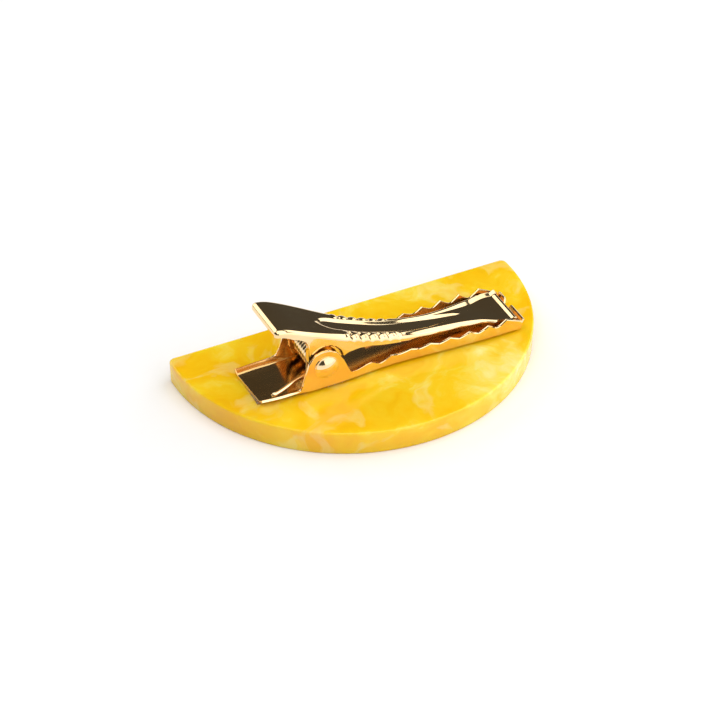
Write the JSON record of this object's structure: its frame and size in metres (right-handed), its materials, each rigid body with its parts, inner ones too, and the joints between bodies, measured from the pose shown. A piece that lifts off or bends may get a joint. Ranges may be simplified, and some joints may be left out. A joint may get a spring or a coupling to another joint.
{
  "type": "half-moon hair clip",
  "caption": "Half-moon marbled acetate plate with a sprung, toothed metal alligator clip glued to its back.",
  "frame": {"origin": "centre of the bounding box, on the plate's decorative face that the clip rests on", "axes": "+X along the plate's straight edge, from the clip's handles towards its jaws; +Y square to the straight edge and towards it; +Z from the decorative face to the back, where the metal clip is"},
  "size_m": [0.06, 0.0314, 0.0167],
  "materials": {
    "acetate": "polished marbled cellulose acetate, yellow with cream clouds",
    "glue": "clear adhesive",
    "gold_plate": "bright gold plating, mirror polished",
    "gold_wire": "bright gold-plated spring wire"
  },
  "bodies": {
    "base": {"acetate_plate": "acetate", "glue_film": "glue", "lower_arm": "gold_plate", "hinge_pin": "gold_plate", "torsion_spring": "gold_wire"},
    "lever": {"upper_arm": "gold_plate"}
  },
  "joints": [
    {"name": "lever_hinge", "type": "hinge", "parent": "base", "child": "lever", "pos_m": [-0.01111, 0.00262, 0.0083], "axis": [-0.0349, -0.9994, 0], "range_deg": [0, 52], "stiffness_Nm_per_rad": 0.08, "springref_deg": -34.38, "deforming": ["torsion_spring"]}
  ]
}
